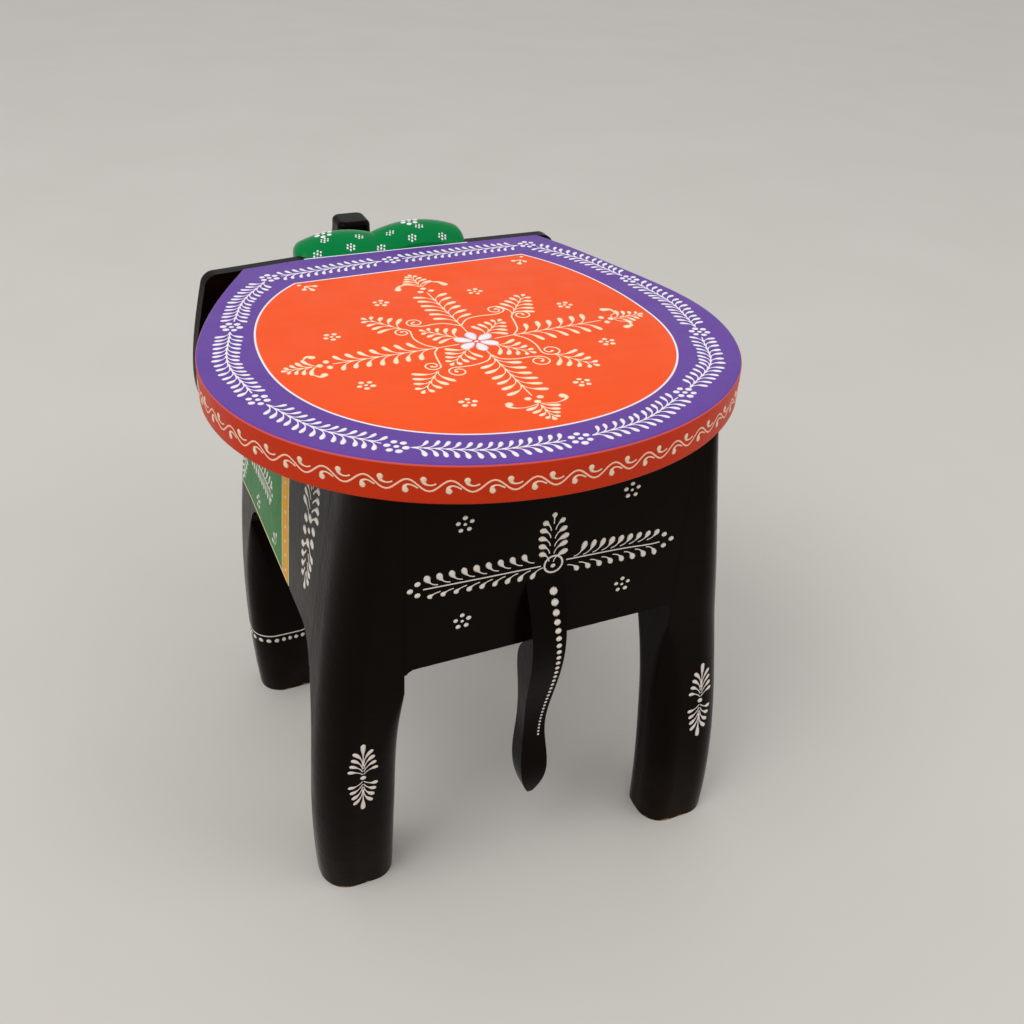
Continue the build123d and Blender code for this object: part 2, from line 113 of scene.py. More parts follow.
def comma(base, corner, tip, fat, thin=hair):
    """A stroke bent round a corner: a hair where it starts at base, fat and round at tip."""
    base = Vector(base)
    corner = Vector(corner)
    tip = Vector(tip)
    fat = fat * jitter.uniform(0.92, 1.08)
    length = (tip - base).length
    stroke = []
    steps = 10
    for step in range(steps + 1):
        t = 1 - (1 - step / steps) ** 1.6
        point = base * (1 - t) ** 2 + corner * 2 * t * (1 - t) + tip * t * t
        rise = min(1, max(0, (t - 0.44) / 0.38))
        swell = rise * rise * (3 - 2 * rise)
        short = max(0, 1 - (1 - t) * length / fat)
        cap = math.sqrt(max(0.001, 1 - short * short))
        stroke.append((point.x, point.y, (thin + (fat - thin) * swell) * cap))
    return stroke


def leaf(base, tip, bow, fat, thin=hair):
    """A comma between two points, bowed to one side by a share of its length."""
    base = Vector(base)
    tip = Vector(tip)
    reach = tip - base
    return comma(base, (base + tip) / 2 + Vector((-reach.y, reach.x)) * bow, tip, fat, thin)


def smooth(points, steps=5):
    """Points on a smooth line through the given ones."""
    points = [Vector(point) for point in points]
    ends = [2 * points[0] - points[1]] + points + [2 * points[-1] - points[-2]]
    line = []
    for a, b, c, d in zip(ends, ends[1:], ends[2:], ends[3:]):
        for step in range(steps):
            t = step / steps
            line.append(0.5 * (2 * b + (c - a) * t + (2 * a - 5 * b + 4 * c - d) * t ** 2
                               + (3 * b - a - 3 * c + d) * t ** 3))
    return line + [points[-1]]


def stem(points, width=line_width):
    """A plain line of paint through the given points."""
    return [(point.x, point.y, width) for point in smooth(points)]


def curl(points, fat, thin=hair, steps=5):
    """A line that fattens towards a round end."""
    line = smooth(points, steps)
    count = len(line) - 1
    stroke = []
    for step, point in enumerate(line):
        t = step / count
        rise = max(0, (t - 0.45) / 0.55)
        stroke.append((point.x, point.y, thin + (fat - thin) * rise ** 1.5))
    heading = (line[-1] - line[-2]).normalized()
    for forward, size in ((0.45, 0.9), (0.8, 0.6), (0.98, 0.2)):
        point = line[-1] + heading * fat * forward
        stroke.append((point.x, point.y, fat * size))
    return stroke


def flower(x, y, ring, dab, count, turn, heart=0.7):
    """Dabs in a ring round a smaller dab."""
    strokes = [blob(x, y, dab * heart)]
    for number in range(count):
        angle = turn + TURN * number / count
        size = dab * jitter.uniform(0.9, 1.1)
        strokes.append(blob(x + ring * math.cos(angle), y + ring * math.sin(angle), size))
    return strokes


class Track:
    """A line of points that can be walked by length."""

    def __init__(self, points):
        self.points = points
        self.marks = [0.0]
        for start, end in zip(points, points[1:]):
            self.marks.append(self.marks[-1] + (end - start).length)
        self.length = self.marks[-1]

    def at(self, distance):
        """Point and heading at a distance along the line."""
        index = min(max(bisect(self.marks, distance) - 1, 0), len(self.points) - 2)
        start = self.points[index]
        heading = (self.points[index + 1] - start).normalized()
        return start + heading * (distance - self.marks[index]), heading


def feather(points, first, last, pitch, ahead, out, fat):
    """A stem with pairs of leaves that bend outwards; out and fat are given for left and right."""
    track = Track(smooth(points))
    strokes = [stem(points)]
    count = max(1, round((last - first) / pitch))
    for number in range(count + 1):
        point, heading = track.at(first + (last - first) * number / count)
        for side, reach, size in ((1, out[0], fat[0]), (-1, out[1], fat[1])):
            across = Vector((-heading.y, heading.x)) * side
            base = point + across * hair
            lead = heading * ahead * jitter.uniform(0.92, 1.08)
            tip = point + lead + across * reach * jitter.uniform(0.94, 1.06)
            strokes.append(comma(base, base + lead * 0.8, tip, size))
    return strokes


def towards(strokes, start, end):
    """Strokes drawn along +y, moved to start and turned to point at end."""
    return placed(strokes, start, math.atan2(start[0] - end[0], end[1] - start[1]))


def plume(start, end, pitch, lead, wide, narrow, fat, pairs=4):
    """A stem with leaf pairs that narrow towards a leaf at its tip."""
    length = (Vector(end) - Vector(start)).length
    strokes = [[(0, 0, hair), (0, length - 4, hair)],
               leaf((0, length - 7.5), (0, length), 0, fat * 1.05)]
    for number in range(pairs):
        back = pairs - 1 - number
        up = length - lead - pitch * back
        out = narrow + (wide - narrow) * back / (pairs - 1)
        ahead = 0.45 * out + 2.5
        for side in (-1, 1):
            base = (side * hair, up - ahead)
            strokes.append(comma(base, (side * hair, up - ahead * 0.2), (side * out, up), fat))
    return towards(strokes, start, end)


def scroll(points, middle):
    """A line that ends in a spiral round a middle point."""
    line = smooth(points)
    middle = Vector(middle)
    arrival = line[-1] - middle
    heading = line[-1] - line[-2]
    sense = 1 if arrival.x * heading.y - arrival.y * heading.x > 0 else -1
    start = math.atan2(arrival.y, arrival.x)
    steps = 28
    turns = 1.35
    for step in range(1, steps + 1):
        t = step / steps
        angle = start + sense * TURN * turns * t
        radius = arrival.length * (1 - 0.8 * t * t)
        line.append(middle + Vector((math.cos(angle), math.sin(angle))) * radius)
    return [[(point.x, point.y, scroll_width) for point in line],
            blob(line[-1].x, line[-1].y, 1.05)]


def placed(strokes, origin=(0.0, 0.0), turn=0.0, flip=1):
    """The strokes mirrored across x where flip is -1, turned and moved."""
    c = math.cos(turn)
    s = math.sin(turn)
    moved = []
    for stroke in strokes:
        moved.append([(origin[0] + c * x * flip - s * y, origin[1] + s * x * flip + c * y, radius)
                      for x, y, radius in stroke])
    return moved


# ---- laying a flat sheet of strokes on the timber ----
def lay_seat(point, height):
    """Flat on the seat: the sheet's zero is the medallion."""
    return Vector((point.x, point.y + seat_y, seat_top + height)) * MM


def lay_panel(point, height):
    """Upright on the rear board: x across, y is the height above the floor."""
    return Vector((point.x, panel_y + height, point.y)) * MM


def outline_of(node, z, centre, count):
    """The node's outer edge at height z, seen from above, by rays towards its centre."""
    tree = tree_of(node)
    reach = 400
    line = []
    for number in range(count):
        angle = TURN * number / count
        outward = Vector((math.cos(angle), math.sin(angle), 0))
        start = Vector((centre.x, centre.y, z)) + outward * reach
        hit = tree.ray_cast(start * MM, -outward)[0]
        line.append(Vector((hit.x, hit.y)) / MM)
    return line + [line[0]]


def tree_of(*nodes):
    """A search tree over the faces of CAD nodes."""
    corners = []
    faces = []
    for node in nodes:
        mesh = bpy.data.objects[node].data
        offset = len(corners)
        corners += [vertex.co.copy() for vertex in mesh.vertices]
        faces += [[offset + index for index in face.vertices] for face in mesh.polygons]
    return BVHTree.FromPolygons(corners, faces)


def lay_edge(track, middle_z):
    """Wraps a strip round an outline: x runs along it, y up its side."""
    def lay(point, height):
        spot, heading = track.at(point.x % track.length)
        outward = Vector((heading.y, -heading.x))
        spot = spot + outward * height
        return Vector((spot.x, spot.y, middle_z + point.y)) * MM
    return lay


def lay_cast(nodes, origin, across, up):
    """Projects a sheet on nodes: origin is the sheet's zero, across and up its two directions."""
    tree = tree_of(*nodes)
    across = Vector(across).normalized()
    up = Vector(up).normalized()
    inward = -across.cross(up)
    origin = Vector(origin)
    stand_off = 150

    def lay(point, height):
        start = origin + across * point.x + up * point.y - inward * stand_off
        spot, normal, _, _ = tree.ray_cast(start * MM, inward)
        if spot is None:
            spot = tree.find_nearest((origin + across * point.x + up * point.y) * MM)[0]
            normal = -inward
        if normal.dot(inward) > 0:
            normal = -normal
        return spot + normal * height * MM
    return lay


def lay_round(node, centre, radius):
    """Wraps a strip round a leg: x runs round it, y is the height above the floor."""
    tree = tree_of(node)
    centre = Vector(centre)
    stand_off = 80

    def lay(point, height):
        angle = point.x / radius
        outward = Vector((math.cos(angle), math.sin(angle), 0))
        start = Vector((centre.x, centre.y, point.y)) + outward * stand_off
        spot = tree.ray_cast(start * MM, -outward)[0]
        return spot + outward * height * MM
    return lay


def paint(name, strokes, lay, material):
    """Makes the strokes one raised piece of dried paint, laid on the timber."""
    bpy.ops.object.select_all(action="DESELECT")
    curve = bpy.data.curves.new(name, "CURVE")
    curve.dimensions = "3D"
    curve.bevel_depth = 1
    curve.bevel_resolution = 1
    curve.use_fill_caps = True
    for stroke in strokes:
        spline = curve.splines.new("POLY")
        spline.points.add(len(stroke) - 1)
        for point, (x, y, radius) in zip(spline.points, stroke):
            point.co = (x, y, 0, 1)
            point.radius = radius
    piece = bpy.data.objects.new(name, curve)
    bpy.context.collection.objects.link(piece)
    piece.select_set(True)
    bpy.context.view_layer.objects.active = piece
    bpy.ops.object.convert(target="MESH")
    piece = bpy.context.view_layer.objects.active
    for vertex in piece.data.vertices:
        raised = paint_depth * (1 - math.exp(-abs(vertex.co.z) * relief / paint_depth))
        vertex.co = lay(vertex.co.to_2d(), math.copysign(raised, vertex.co.z))
    bpy.ops.object.mode_set(mode="EDIT")
    bpy.ops.mesh.select_all(action="SELECT")
    bpy.ops.mesh.normals_make_consistent(inside=False)
    bpy.ops.object.mode_set(mode="OBJECT")
    bpy.ops.object.shade_smooth()
    piece.data.materials.clear()
    piece.data.materials.append(material)
    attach(piece, "root")


# ---- shader groups: film of enamel, rubbed rim, floor dust ----
def colour(code):
    """A written colour such as #F55A2A as linear red, green, blue and alpha."""
    values = [int(code[index:index + 2], 16) / 255 for index in (1, 3, 5)]
    return [v / 12.92 if v <= 0.04045 else ((v + 0.055) / 1.055) ** 2.4 for v in values] + [1.0]


def add(tree, kind, **settings):
    """A node of the given kind with its settings."""
    node = tree.nodes.new("ShaderNode" + kind)
    for key, value in settings.items():
        setattr(node, key, value)
    return node


def feed(tree, value, socket):
    """Sets a socket to a number or colour, or links an output to it."""
    if isinstance(value, bpy.types.NodeSocket):
        tree.links.new(value, socket)
    else:
        socket.default_value = value


def maths(tree, operation, *values, clamp=False):
    """The result of a sum on numbers or outputs."""
    node = add(tree, "Math", operation=operation, use_clamp=clamp)
    for value, socket in zip(values, node.inputs):
        feed(tree, value, socket)
    return node.outputs[0]


def step_up(tree, value, start, end):
    """0 below start, 1 above end, smooth between."""
    node = add(tree, "MapRange", interpolation_type="SMOOTHSTEP")
    for item, socket in zip((value, start, end), node.inputs):
        feed(tree, item, socket)
    return node.outputs[0]


def noise(tree, vector, scale, detail=2.0, roughness=0.5):
    """Cloudy values round 0.5, scale to the metre."""
    node = add(tree, "TexNoise")
    feed(tree, vector, node.inputs["Vector"])
    for name, value in (("Scale", scale), ("Detail", detail), ("Roughness", roughness)):
        feed(tree, value, node.inputs[name])
    return node.outputs["Fac"]


def stretched(tree, vector, scale):
    """The position scaled by its own amount along each axis."""
    node = add(tree, "Mapping")
    feed(tree, vector, node.inputs["Vector"])
    node.inputs["Scale"].default_value = scale
    return node.outputs[0]


def blend(tree, mask, under, over):
    """The over colour where the mask is 1, the under colour where it is 0."""
    node = add(tree, "Mix", data_type="RGBA")
    feed(tree, mask, node.inputs["Factor"])
    feed(tree, under, node.inputs["A"])
    feed(tree, over, node.inputs["B"])
    return node.outputs["Result"]


def make_group(name, inputs, outputs):
    """An empty shader group with named sockets; returns it, its inputs and its output node."""
    group = bpy.data.node_groups.new(name, "ShaderNodeTree")
    for label, kind, value in inputs:
        socket = group.interface.new_socket(label, in_out="INPUT", socket_type="NodeSocket" + kind)
        if value is not None:
            socket.default_value = value
    for label, kind in outputs:
        group.interface.new_socket(label, in_out="OUTPUT", socket_type="NodeSocket" + kind)
    return (group, group.nodes.new("NodeGroupInput").outputs,
            group.nodes.new("NodeGroupOutput").inputs)


def enamel_film():
    """Brushed enamel: mottled pigment, uneven gloss, brush marks and a fine orange peel."""
    group, given, result = make_group(
        "enamel film",
        [("Position", "Vector", None), ("Pigment", "Color", None), ("Mottle", "Float", 0.08),
         ("Gloss low", "Float", 0.25), ("Gloss high", "Float", 0.4)],
        [("Colour", "Color"), ("Roughness", "Float"), ("Height", "Float")])
    patches = noise(group, given["Position"], 16, 3)
    streaks = noise(group, stretched(group, given["Position"], (14, 160, 120)), 1, 2)
    peel = noise(group, given["Position"], 420, 1)
    tone = maths(group, "ADD", maths(group, "MULTIPLY", patches, 1.3),
                 maths(group, "MULTIPLY", streaks, 0.7))
    shift = maths(group, "MULTIPLY", maths(group, "SUBTRACT", tone, 1.0), given["Mottle"])
    scale = add(group, "VectorMath", operation="SCALE")
    feed(group, given["Pigment"], scale.inputs[0])
    feed(group, maths(group, "ADD", shift, 1.0), scale.inputs["Scale"])
    group.links.new(scale.outputs[0], result["Colour"])
    gloss = add(group, "MapRange")
    smear = noise(group, given["Position"], 34, 4, 0.62)
    for item, socket in zip((smear, 0.32, 0.68, given["Gloss low"], given["Gloss high"]),
                            gloss.inputs):
        feed(group, item, socket)
    group.links.new(gloss.outputs[0], result["Roughness"])
    height = maths(group, "ADD", maths(group, "MULTIPLY", streaks, 0.6),
                   maths(group, "MULTIPLY", peel, 0.25))
    group.links.new(height, result["Height"])
    return group


def rubbed_rim():
    """Where paint is rubbed through along an edge at a height above the floor."""
    group, given, result = make_group(
        "rubbed rim",
        [("Position", "Vector", None), ("Height", "Float", 0.0), ("Width", "Float", 0.002),
         ("Amount", "Float", 0.5)],
        [("Mask", "Float")])
    split = add(group, "SeparateXYZ")
    group.links.new(given["Position"], split.inputs[0])
    away = maths(group, "ABSOLUTE", maths(group, "SUBTRACT", split.outputs["Z"], given["Height"]))
    near = maths(group, "SUBTRACT", 1.0, maths(group, "DIVIDE", away, given["Width"]), clamp=True)
    chips = noise(group, given["Position"], 130, 4, 0.65)
    worn = maths(group, "ADD", maths(group, "MULTIPLY", near, given["Amount"]), chips)
    group.links.new(step_up(group, worn, 0.86, 0.95), result["Mask"])
    return group


def floor_dust():
    """Dust that settles low on the feet and in faint patches elsewhere."""
    group, given, result = make_group(
        "floor dust",
        [("Position", "Vector", None), ("Reach", "Float", 0.05), ("Amount", "Float", 0.2)],
        [("Mask", "Float")])
    split = add(group, "SeparateXYZ")
    group.links.new(given["Position"], split.inputs[0])
    low = maths(group, "SUBTRACT", 1.0, maths(group, "DIVIDE", split.outputs["Z"], given["Reach"]),
                clamp=True)
    specks = noise(group, given["Position"], 55, 4, 0.7)
    patchy = maths(group, "MULTIPLY", maths(group, "ADD", low, 0.12), specks)
    group.links.new(maths(group, "MULTIPLY", patchy, given["Amount"]), result["Mask"])
    return group


film = enamel_film()
rim = rubbed_rim()
dust = floor_dust()


class Finish:
    """A material under way: its tree, its position and split coordinates, and its shader."""

    def __init__(self, name):
        self.material = bpy.data.materials.new(name)
        self.material.use_nodes = True
        self.tree = self.material.node_tree
        self.shader = self.tree.nodes["Principled BSDF"]
        self.place = add(self.tree, "TexCoord").outputs["Object"]
        split = add(self.tree, "SeparateXYZ")
        self.tree.links.new(self.place, split.inputs[0])
        self.x, self.y, self.z = split.outputs

    def call(self, group, **values):
        """The outputs of a shader group that is fed the given values."""
        node = add(self.tree, "Group", node_tree=group)
        self.tree.links.new(self.place, node.inputs["Position"])
        for name, value in values.items():
            feed(self.tree, value, node.inputs[name.replace("_", " ")])
        return node.outputs

    def coat(self, pigment, mottle, gloss_low, gloss_high, bump, specular):
        """Covers the surface with enamel of a pigment, a colour or a painted pattern."""
        layer = self.call(film, Pigment=pigment, Mottle=mottle, Gloss_low=gloss_low,
                          Gloss_high=gloss_high)
        self.tree.links.new(layer["Colour"], self.shader.inputs["Base Color"])
        self.tree.links.new(layer["Roughness"], self.shader.inputs["Roughness"])
        raised = add(self.tree, "Bump")
        raised.inputs["Strength"].default_value = 0.5
        raised.inputs["Distance"].default_value = bump
        self.tree.links.new(layer["Height"], raised.inputs["Height"])
        self.tree.links.new(raised.outputs[0], self.shader.inputs["Normal"])
        self.shader.inputs["Specular IOR Level"].default_value = specular
        return self.material


black = colour("#080301")
bare_wood = colour("#8A5B34")
dust_tint = colour("#5A4A3C")
wobble = 0.0008
wobble_to_share = 16.0


def brush_wobble(finish):
    """How far a painted border strays from its line, in metres."""
    tree = finish.tree
    return maths(tree, "MULTIPLY", maths(tree, "SUBTRACT", noise(tree, finish.place, 120), 0.5),
                 wobble)


def dulled(finish, pigment):
    """Pigment with dust low down and rubbed edges at the feet."""
    tree = finish.tree
    dusty = blend(tree, finish.call(dust, Reach=0.06, Amount=0.16)["Mask"], pigment, dust_tint)
    return blend(tree, finish.call(rim, Height=0.0005, Width=0.003, Amount=0.36)["Mask"], dusty,
                 bare_wood)


def black_lacquer():
    """The body's black, the same on every block and board."""
    finish = Finish("black lacquer")
    return finish.coat(dulled(finish, black), mottle=0.25, gloss_low=0.12, gloss_high=0.28,
                       bump=0.0006, specular=0.045)


def seat_enamel():
    """Orange field, purple border, orange-red edge with a painted highlight along its top, and
    black underside.
    """
    finish = Finish("seat enamel")
    tree = finish.tree
    ragged = brush_wobble(finish)
    off_x = maths(tree, "SUBTRACT", finish.x, field_centre.x * MM)
    off_y = maths(tree, "SUBTRACT", finish.y, (field_centre.y + seat_y) * MM)
    on_left = maths(tree, "GREATER_THAN", off_x, 0.0)
    to_rear = maths(tree, "GREATER_THAN", off_y, 0.0)
    less_on_left = maths(tree, "MULTIPLY", on_left,
                         (field_left_front_reach - field_right_front_reach) * MM)
    front_reach = maths(tree, "ADD", field_right_front_reach * MM, less_on_left)
    extra = maths(tree, "SUBTRACT", field_rear_reach * MM, front_reach)
    reach = maths(tree, "ADD", front_reach, maths(tree, "MULTIPLY", to_rear, extra))
    share_x = maths(tree, "DIVIDE", maths(tree, "ABSOLUTE", off_x), field_half_width * MM)
    share_y = maths(tree, "DIVIDE", maths(tree, "ABSOLUTE", off_y), reach)
    total = maths(tree, "ADD", maths(tree, "POWER", share_x, field_roundness),
                  maths(tree, "POWER", share_y, field_roundness))
    strayed = maths(tree, "ADD", total, maths(tree, "MULTIPLY", ragged, wobble_to_share))
    inside = maths(tree, "LESS_THAN", strayed, 1.0)
    front = maths(tree, "ADD", maths(tree, "MULTIPLY", finish.x, field_front_slope),
                  (field_left_corner.y - field_front_slope * field_left_corner.x + seat_y) * MM)
    behind = maths(tree, "GREATER_THAN", maths(tree, "ADD", finish.y, ragged), front)
    field = maths(tree, "MULTIPLY", inside, behind)
    top = blend(tree, field, colour("#66429B"), colour("#FA5208"))
    # Painted highlight: a paler pink line (#D4564C) along the top of the orange-red edge band
    # stands in for light on the seat's rounded corner.
    edge = blend(tree, step_up(tree, finish.z, (seat_top - 1.5) * MM, (seat_top - 0.9) * MM),
                 colour("#C02E02"), colour("#D4564C"))
    shell = blend(tree, step_up(tree, finish.z, (seat_top - 0.55) * MM, (seat_top - 0.35) * MM),
                  edge, top)
    under = step_up(tree, finish.z, (seat_top - seat_thickness) * MM,
                    (seat_top - seat_thickness + 0.8) * MM)
    shown = blend(tree, under, black, shell)
    rubbed = finish.call(rim, Height=(seat_top - 0.7) * MM, Width=0.0015, Amount=0.22)["Mask"]
    return finish.coat(blend(tree, rubbed, shown, colour("#C08A70")), mottle=0.07, gloss_low=0.32,
                       gloss_high=0.5, bump=0.0004, specular=0.13)


def head_enamel():
    """Green cap over the domes, with black lacquer below it."""
    finish = Finish("head enamel")
    tree = finish.tree
    cap = step_up(tree, finish.z, (cap_z - 0.3) * MM, (cap_z + 0.3) * MM)
    return finish.coat(blend(tree, cap, black, colour("#027C3E")), mottle=0.16, gloss_low=0.14,
                       gloss_high=0.28, bump=0.0006, specular=0.07)


def cloth_enamel():
    """Painted saddle cloth on the outer sides: green ground, yellow ribbon; black elsewhere."""
    finish = Finish("cloth enamel")
    tree = finish.tree
    ragged = brush_wobble(finish)
    y = maths(tree, "ADD", finish.y, ragged)
    middle = maths(tree, "ADD", maths(tree, "MULTIPLY", finish.z, -ribbon_lean),
                   (ribbon_at_hem + ribbon_lean * ribbon_base_z) * MM)
    off = maths(tree, "SUBTRACT", y, middle)
    half = ribbon_width / 2 * MM
    ahead = maths(tree, "LESS_THAN", off, half)
    ribbon = maths(tree, "GREATER_THAN", off, -half)
    ground = blend(tree, ribbon, colour("#13702B"), colour("#D69404"))
    outer = maths(tree, "GREATER_THAN", maths(tree, "ABSOLUTE", finish.x), flank_x * MM)
    settled = step_up(tree, y, cloth_front * MM, (cloth_front + hem_run) * MM)
    drop = maths(tree, "MULTIPLY", settled, -hem_rise * MM)
    above = maths(tree, "GREATER_THAN", finish.z,
                  maths(tree, "ADD", drop, (cloth_hem + hem_rise - 0.5) * MM))
    back = maths(tree, "GREATER_THAN", y, cloth_front * MM)
    cloth = maths(tree, "MULTIPLY", maths(tree, "MULTIPLY", outer, above),
                  maths(tree, "MULTIPLY", ahead, back))
    return finish.coat(blend(tree, cloth, dulled(finish, black), ground), mottle=0.14,
                       gloss_low=0.14, gloss_high=0.3, bump=0.0006, specular=0.05)


def dried_paint(name, code):
    """Thick opaque brush paint."""
    return Finish(name).coat(colour(code), mottle=0.07, gloss_low=0.38, gloss_high=0.55,
                             bump=0.0002, specular=0.3)


def turned_wood():
    """Plain timber for the dowels."""
    finish = Finish("bare wood")
    tree = finish.tree
    grain = noise(tree, stretched(tree, finish.place, (300, 300, 25)), 1, 4, 0.6)
    return finish.coat(blend(tree, grain, colour("#6E4526"), colour("#B5834F")), mottle=0.1,
                       gloss_low=0.55, gloss_high=0.7, bump=0.0003, specular=0.5)


cap_z = seat_top - 34.0

lacquer = black_lacquer()
cloth = cloth_enamel()
white_paint = dried_paint("white paint", "#F6F2F4")
cream_paint = dried_paint("cream paint", "#FBE9C4")
rose_paint = dried_paint("rose paint", "#F3C4A8")
chalk_paint = dried_paint("chalk paint", "#E0D6CB")
comma_paint = dried_paint("comma paint", "#EBCFB2")
straw_paint = dried_paint("straw paint", "#E3D39A")

finishes = {"seat": seat_enamel(), "head": head_enamel()}
for side in ("left", "right"):
    finishes[side + "_side_board"] = cloth
    finishes["front_" + side + "_leg"] = cloth
    finishes[side + "_tusk"] = dried_paint(side + " tusk cream", "#E9DDC6")
wood = turned_wood()
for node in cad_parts:
    mesh = bpy.data.objects[node].data
    material = wood if "dowel" in node else finishes.get(node, lacquer)
    if not mesh.materials:
        mesh.materials.append(material)
    for index in range(len(mesh.materials)):
        mesh.materials[index] = material


# ---- seat: field line, medallion, small flowers, border garland, edge vine ----
def field_line():
    """The line between the orange field and the border."""
    points = [(*field_left_corner, edge_line)]
    steps = 180
    for step in range(steps + 1):
        angle = TURN * (step / steps - 0.25)
        c = math.cos(angle)
        s = math.sin(angle)
        front_reach = field_left_front_reach if c > 0 else field_right_front_reach
        reach = field_rear_reach if s > 0 else front_reach
        x = field_centre.x + field_half_width * math.copysign(abs(c) ** (2 / field_roundness), c)
        y = field_centre.y + reach * math.copysign(abs(s) ** (2 / field_roundness), s)
        if y > field_left_corner.y + field_front_slope * (x - field_left_corner.x) + 1:
            points.append((x, y, edge_line))
    points.append((*field_right_corner, edge_line))
    return [points, [points[-1], points[0]]]


def arm(fork, aim, pairs, first, last, out, knot, single, curled, fat, reach):
    """One arm of the medallion: leaf pairs, three dabs, two curls and a leafy tip."""
    ahead = 8.5
    strokes = [stem([(0, 0), (0, knot - 2.5)])]
    for number in range(pairs):
        t = number / (pairs - 1)
        up = first + (last - first) * t
        for side in (-1, 1):
            wide = (out[0] + (out[1] - out[0]) * t) * jitter.uniform(0.96, 1.04)
            lift = up + jitter.uniform(-0.3, 0.3)
            base = (side * hair, lift - ahead)
            corner = (side * 1.2, lift - ahead * 0.22)
            strokes.append(comma(base, corner, (side * wide, lift), 1.6))
    strokes += [blob(-3.5, knot, 1.95), blob(3.5, knot, 1.95), blob(0, single, 1.95)]
    for side in (-1, 1):
        strokes.append(curl([(side * x, y) for x, y in curled], fat))
    strokes += plume((0, reach - 17), (0, reach), 3.6, 3, 9.8, 4.2, 1.32)
    return towards(strokes, fork, aim)


def middle_flower():
    """Six broad petals round a dab."""
    strokes = [blob(flower_x, flower_y, 1.25)]
    petal = ((2.4, 0.7), (4.0, 1.9), (6.0, 2.95), (8.0, 3.55), (9.8, 3.4), (11.4, 2.5), (12.7, 1.0))
    for number in range(6):
        angle = TURN * (number / 6 + 0.25)
        across = math.cos(angle)
        along = math.sin(angle)
        strokes.append([(flower_x + across * far, flower_y + along * far, wide)
                        for far, wide in petal])
    return strokes


def medallion():
    """Four arms from forks round the middle flower, eight plumes between them and eight scrolls."""
    strokes = []
    rear, front, left, right = (-0.5, 21.5), (0.3, -20), (24, 4), (-23.5, 1)
    for start, end in (((0.3, -11), front), ((-0.3, 16), rear),
                       ((11, 3.3), left), ((-11, 2.2), right)):
        strokes.append(stem([start, end]))
    strokes += arm(rear, (-1.0, 101), 6, 14, 47.5, (12.4, 12.0), 54.5, 58.8,
                   [(0.6, 61), (4, 62), (9, 62.8), (14, 61.5), (16.3, 59), (15.3, 57.3)], 2.4, 79.6)
    strokes += arm(front, (1.8, -104), 6, 14, 48, (12.0, 11.3), 55, 59.5,
                   [(0.6, 63), (4, 66), (8, 68.5), (13, 67), (15.3, 62.5)], 2.3, 84)
    strokes += arm(left, (87, 5.5), 7, 14, 57.5, (12.0, 9.2), 63, 67.5,
                   [(0.6, 70), (3.5, 72), (8.5, 74), (12.7, 71), (11.3, 68.5)], 2.1, 88.5)
    strokes += arm(right, (-85, -2), 6, 13.5, 51.5, (12.3, 12.0), 60.5, 65,
                   [(0.6, 66.6), (4.3, 67.8), (7, 72), (12, 72), (13.5, 68)], 2.3, 87.8)
    for x in (-1, 1):
        for y in (-1, 1):
            root = (x * 7.7, flower_y + y * 6.7)
            strokes += plume(root, (x * 25.5, flower_y + y * 24.5), 4.6, 3.9, 11.6, 5, 1.45)
            long = x < 0 and y < 0
            tip = (-54.8, -52.8) if long else (x * 51.5, flower_y + y * 50.5)
            strokes += plume((x * 35.5, flower_y + y * 30), tip, 5.2, 4, 12.4, 5.5, 1.5,
                             5 if long else 4)
    for points, middle in (
            ([front, (8, -25.8), (15, -26.8), (22, -26.2), (27, -28)], (24.5, -32)),
            ([front, (-6, -27.5), (-14, -29.9), (-25, -29.4), (-30.5, -31.2)], (-28, -35.6)),
            ([rear, (4, 27.5), (13, 30.5), (22, 30.4)], (24.3, 35)),
            ([rear, (-4, 27.8), (-12, 30.7), (-20, 30.8), (-25, 31.6)], (-23.3, 36.8)),
            ([left, (29.5, -2), (32.4, -11), (31.2, -20)], (35.6, -21.3)),
            ([left, (28, 10), (29.8, 20), (30.5, 25)], (35, 24.6)),
            ([right, (-29, -6), (-31.7, -16), (-33.5, -24), (-37, -28.2)], (-40, -24)),
            ([right, (-28.5, 8), (-30, 17), (-28.9, 26)], (-34.5, 26.5))):
        strokes += scroll(points, middle)
    return strokes


def corner_sprig(root, heads, dab):
    """A dab and three leaves that open from a corner of the field."""
    return [blob(*dab, 1.3)] + [leaf(root, head, 0.06, 1.75, 0.5) for head in heads]


def field_ornament():
    """Everything cream on the orange field, less the middle flower."""
    strokes = medallion()
    spots = [(33.5, -65.5), (-27.5, -66), (75, -28), (-71.5, -29.5), (75.5, 35), (-70.5, 26.5),
             (33, 70), (-33, 68)]
    for x, y in spots:
        strokes += flower(x, y, 3.7, 1.5, 5, jitter.uniform(0, 1))
    strokes += corner_sprig((69, -104.5), ((71.5, -98), (65.5, -96), (61.5, -102.5)), (72, -107))
    return strokes + corner_sprig((-78, -108), ((-71, -107.5), (-73.5, -100.5), (-80, -103)),
                                  (-81, -113))


